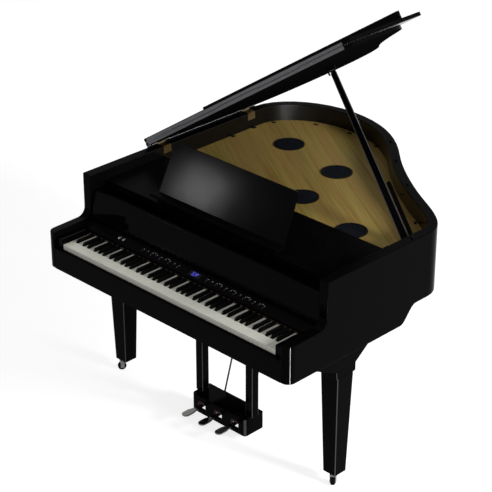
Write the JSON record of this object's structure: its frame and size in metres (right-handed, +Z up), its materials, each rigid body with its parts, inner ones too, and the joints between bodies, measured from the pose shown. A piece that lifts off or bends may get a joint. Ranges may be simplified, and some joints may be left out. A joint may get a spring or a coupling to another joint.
{
  "type": "digital grand piano",
  "caption": "Black digital grand piano on three caster legs, lid propped open over a spruce board with speakers, music desk up, keyboard open, pedals on a lyre",
  "frame": {"origin": "on the floor, under the middle of the whole piano's box with its lid open", "axes": "+X to the player's right, +Y from the keyboard to the tail, +Z up"},
  "size_m": [1.4108, 1.502, 1.7878],
  "materials": {
    "black_rubber": "black rubber tread",
    "brass": "polished brass",
    "button_grey": "dark grey caps",
    "chrome": "polished chrome",
    "circuit_green": "green circuit board with its parts potted",
    "display_glass": "clear window over a blue display",
    "gloss_black": "polished black polyester lacquer",
    "grey_metal": "satin grey metal",
    "key_black": "satin black plastic",
    "key_white": "satin ivory-like plastic",
    "lacquered_wood": "fibreboard in polished black polyester lacquer",
    "red_felt": "dark red felt",
    "soundboard_wood": "spruce veneer with a satin varnish",
    "speaker_black": "black cloth in a thin black ring"
  },
  "bodies": {
    "case": {"bass_speaker_front": "speaker_black", "bass_speaker_middle": "speaker_black", "belly_rail": "lacquered_wood", "bottom_board": "lacquered_wood", "control_panel": "gloss_black", "desk_base": "lacquered_wood", "display_window": "display_glass", "key_bed": "lacquered_wood", "key_felt": "red_felt", "key_frame": "grey_metal", "key_slip": "lacquered_wood", "left_leg": "lacquered_wood", "lid_hinge_plate_front": "brass", "lid_hinge_plate_rear": "brass", "lyre_brace": "brass", "pedal_lyre": "lacquered_wood", "prop_bracket": "grey_metal", "rear_leg": "lacquered_wood", "right_leg": "lacquered_wood", "rim": "lacquered_wood", "sound_module": "circuit_green", "soundboard": "soundboard_wood", "top_board": "lacquered_wood", "treble_speaker_left": "speaker_black", "treble_speaker_right": "speaker_black"},
    "lid": {"lid": "lacquered_wood", "flap_hinge_lid_leaf": "grey_metal", "lid_hinge_leaf_front": "brass", "lid_hinge_leaf_rear": "brass", "prop_cup": "gloss_black"},
    "lid_flap": {"lid_flap": "lacquered_wood", "flap_hinge_flap_leaf": "grey_metal"},
    "long_prop": {"long_prop": "gloss_black"},
    "short_prop": {"short_prop": "gloss_black"},
    "music_desk": {"music_desk": "lacquered_wood"},
    "desk_strut": {"desk_strut": "grey_metal"},
    "fallboard": {"fallboard": "lacquered_wood"},
    "fallboard_leaf": {"fallboard_leaf": "lacquered_wood"},
    "volume_knob": {"volume_knob": "chrome"},
    "tone_knob": {"tone_knob": "chrome"},
    "left_buttons": {"left_buttons": "button_grey"},
    "right_buttons": {"right_buttons": "button_grey"},
    "soft_pedal": {"soft_pedal": "chrome"},
    "sostenuto_pedal": {"sostenuto_pedal": "chrome"},
    "damper_pedal": {"damper_pedal": "chrome"},
    "keys_a": {"keys_a": "key_white"},
    "keys_b": {"keys_b": "key_white"},
    "keys_c": {"keys_c": "key_white"},
    "keys_d": {"keys_d": "key_white"},
    "keys_e": {"keys_e": "key_white"},
    "keys_f": {"keys_f": "key_white"},
    "keys_g": {"keys_g": "key_white"},
    "black_keys_pairs": {"black_keys_pairs": "key_black"},
    "black_keys_triples": {"black_keys_triples": "key_black"},
    "caster_fork_left": {"caster_fork_left": "brass"},
    "caster_wheel_left": {"caster_wheel_left": "black_rubber"},
    "caster_fork_right": {"caster_fork_right": "brass"},
    "caster_wheel_right": {"caster_wheel_right": "black_rubber"},
    "caster_fork_rear": {"caster_fork_rear": "brass"},
    "caster_wheel_rear": {"caster_wheel_rear": "black_rubber"}
  },
  "joints": [
    {"name": "lid_hinge", "type": "hinge", "parent": "case", "child": "lid", "pos_m": [-0.67957, -0.751, 0.9891], "axis": [0, 1, 0], "range_deg": [0, 33.4]},
    {"name": "flap_hinge", "type": "hinge", "parent": "lid", "child": "lid_flap", "pos_m": [-0.1153, -0.1815, 1.3868], "axis": [0.8348, 0, 0.5505], "range_deg": [0, 180]},
    {"name": "long_prop_pin", "type": "hinge", "parent": "case", "child": "long_prop", "pos_m": [0.63243, -0.0095, 0.943], "axis": [-0.5929, -0.6701, -0.4465], "range_deg": [0, 36.38]},
    {"name": "short_prop_pin", "type": "hinge", "parent": "case", "child": "short_prop", "pos_m": [0.63243, -0.0095, 0.943], "axis": [-0.5929, -0.6701, -0.4465], "range_deg": [0, 36.38]},
    {"name": "music_desk_hinge", "type": "hinge", "parent": "case", "child": "music_desk", "pos_m": [0.01043, -0.42345, 0.96555], "axis": [-1, 0, 0], "range_deg": [0, 65.4]},
    {"name": "desk_strut_pin", "type": "hinge", "parent": "music_desk", "child": "desk_strut", "pos_m": [0.01043, -0.37065, 1.05686], "axis": [1, 0, 0], "range_deg": [0, 125.4]},
    {"name": "fallboard_hinge", "type": "hinge", "parent": "case", "child": "fallboard", "pos_m": [0.01043, -0.5375, 0.7955], "axis": [1, 0, 0], "range_deg": [0, 99.5]},
    {"name": "fallboard_leaf_hinge", "type": "hinge", "parent": "fallboard", "child": "fallboard_leaf", "pos_m": [0.01043, -0.51097, 0.91526], "axis": [1, 0, 0], "range_deg": [0, 180]},
    {"name": "keys_a_pivot", "type": "hinge", "parent": "case", "child": "keys_a", "pos_m": [0.01043, -0.506, 0.7243], "axis": [1, 0, 0], "range_deg": [0, 2.6], "stiffness_Nm_per_rad": 8, "springref_deg": -28.65},
    {"name": "keys_b_pivot", "type": "hinge", "parent": "case", "child": "keys_b", "pos_m": [0.01043, -0.506, 0.7243], "axis": [1, 0, 0], "range_deg": [0, 2.6], "stiffness_Nm_per_rad": 8, "springref_deg": -28.65},
    {"name": "keys_c_pivot", "type": "hinge", "parent": "case", "child": "keys_c", "pos_m": [0.01043, -0.506, 0.7243], "axis": [1, 0, 0], "range_deg": [0, 2.6], "stiffness_Nm_per_rad": 8, "springref_deg": -28.65},
    {"name": "keys_d_pivot", "type": "hinge", "parent": "case", "child": "keys_d", "pos_m": [0.01043, -0.506, 0.7243], "axis": [1, 0, 0], "range_deg": [0, 2.6], "stiffness_Nm_per_rad": 8, "springref_deg": -28.65},
    {"name": "keys_e_pivot", "type": "hinge", "parent": "case", "child": "keys_e", "pos_m": [0.01043, -0.506, 0.7243], "axis": [1, 0, 0], "range_deg": [0, 2.6], "stiffness_Nm_per_rad": 8, "springref_deg": -28.65},
    {"name": "keys_f_pivot", "type": "hinge", "parent": "case", "child": "keys_f", "pos_m": [0.01043, -0.506, 0.7243], "axis": [1, 0, 0], "range_deg": [0, 2.6], "stiffness_Nm_per_rad": 8, "springref_deg": -28.65},
    {"name": "keys_g_pivot", "type": "hinge", "parent": "case", "child": "keys_g", "pos_m": [0.01043, -0.506, 0.7243], "axis": [1, 0, 0], "range_deg": [0, 2.6], "stiffness_Nm_per_rad": 8, "springref_deg": -28.65},
    {"name": "black_keys_pairs_pivot", "type": "hinge", "parent": "case", "child": "black_keys_pairs", "pos_m": [0.01043, -0.506, 0.7243], "axis": [1, 0, 0], "range_deg": [0, 2.6], "stiffness_Nm_per_rad": 5, "springref_deg": -28.65},
    {"name": "black_keys_triples_pivot", "type": "hinge", "parent": "case", "child": "black_keys_triples", "pos_m": [0.01043, -0.506, 0.7243], "axis": [1, 0, 0], "range_deg": [0, 2.6], "stiffness_Nm_per_rad": 5, "springref_deg": -28.65},
    {"name": "soft_pedal_pivot", "type": "hinge", "parent": "case", "child": "soft_pedal", "pos_m": [-0.07407, -0.369, 0.067], "axis": [1, 0, 0], "range_deg": [0, 7], "stiffness_Nm_per_rad": 12, "springref_deg": -28.65},
    {"name": "sostenuto_pedal_pivot", "type": "hinge", "parent": "case", "child": "sostenuto_pedal", "pos_m": [0.02443, -0.369, 0.067], "axis": [1, 0, 0], "range_deg": [0, 7], "stiffness_Nm_per_rad": 12, "springref_deg": -28.65},
    {"name": "damper_pedal_pivot", "type": "hinge", "parent": "case", "child": "damper_pedal", "pos_m": [0.12293, -0.369, 0.067], "axis": [1, 0, 0], "range_deg": [0, 7], "stiffness_Nm_per_rad": 12, "springref_deg": -28.65},
    {"name": "volume_knob_turn", "type": "hinge", "parent": "case", "child": "volume_knob", "pos_m": [-0.43557, -0.56675, 0.77225], "axis": [0, -0.3695, 0.9292], "range_deg": [-140, 140]},
    {"name": "tone_knob_turn", "type": "hinge", "parent": "case", "child": "tone_knob", "pos_m": [-0.41057, -0.56675, 0.77225], "axis": [0, -0.3695, 0.9292], "range_deg": [-140, 140]},
    {"name": "left_buttons_press", "type": "slide", "parent": "case", "child": "left_buttons", "axis": [0, 0.3695, -0.9292], "range_m": [0, 0.001], "stiffness_N_per_m": 400, "springref_m": -0.004},
    {"name": "right_buttons_press", "type": "slide", "parent": "case", "child": "right_buttons", "axis": [0, 0.3695, -0.9292], "range_m": [0, 0.001], "stiffness_N_per_m": 400, "springref_m": -0.004},
    {"name": "caster_swivel_left", "type": "hinge", "parent": "case", "child": "caster_fork_left", "pos_m": [-0.61457, -0.401, 0], "axis": [0, 0, 1], "continuous": true},
    {"name": "caster_roll_left", "type": "hinge", "parent": "caster_fork_left", "child": "caster_wheel_left", "pos_m": [-0.62457, -0.41832, 0.019], "axis": [0.866, -0.5, 0], "continuous": true},
    {"name": "caster_swivel_right", "type": "hinge", "parent": "case", "child": "caster_fork_right", "pos_m": [0.63543, -0.401, 0], "axis": [0, 0, 1], "continuous": true},
    {"name": "caster_roll_right", "type": "hinge", "parent": "caster_fork_right", "child": "caster_wheel_right", "pos_m": [0.64543, -0.41832, 0.019], "axis": [0.866, 0.5, 0], "continuous": true},
    {"name": "caster_swivel_rear", "type": "hinge", "parent": "case", "child": "caster_fork_rear", "pos_m": [-0.26955, 0.449, 0], "axis": [0, 0, 1], "continuous": true},
    {"name": "caster_roll_rear", "type": "hinge", "parent": "caster_fork_rear", "child": "caster_wheel_rear", "pos_m": [-0.25955, 0.43168, 0.019], "axis": [0.866, 0.5, 0], "continuous": true}
  ],
  "couplings": [
    {"joint": "long_prop_pin", "follows": "lid_hinge", "ratio": 1.0892},
    {"joint": "short_prop_pin", "follows": "lid_hinge", "ratio": 1.0892},
    {"joint": "desk_strut_pin", "follows": "music_desk_hinge", "ratio": 1.9174},
    {"joint": "fallboard_leaf_hinge", "follows": "fallboard_hinge", "ratio": 1.8091}
  ]
}
